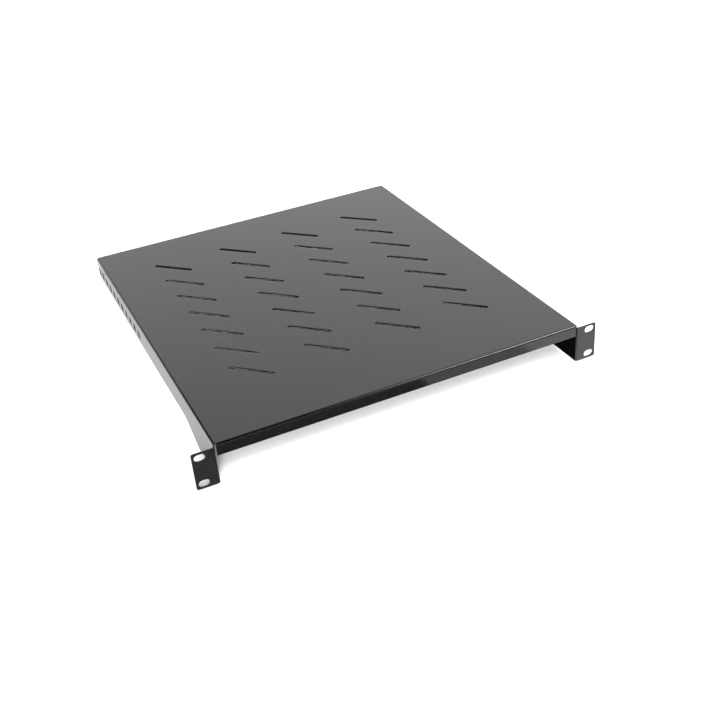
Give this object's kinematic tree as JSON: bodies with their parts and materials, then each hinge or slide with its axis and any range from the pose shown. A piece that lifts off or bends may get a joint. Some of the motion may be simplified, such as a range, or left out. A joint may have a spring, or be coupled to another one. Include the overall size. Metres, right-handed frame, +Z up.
{
  "type": "fixed rack shelf",
  "caption": "Fixed 19 inch rack shelf folded from steel sheet: flat tray with slanted vents, slotted rack ears, front lip, and tapered side walls with square holes.",
  "frame": {"origin": "middle of the plane where the ears seat on the rack's front posts, halfway between the upper and the lower row of screw slots", "axes": "+X across the rack to the right as seen from the front, +Y back into the rack, +Z up"},
  "size_m": [0.4826, 0.495, 0.0475],
  "materials": {
    "black_powder_coat": "satin black powder coat on folded steel sheet"
  },
  "bodies": {
    "root": {"shelf": "black_powder_coat"}
  },
  "joints": []
}
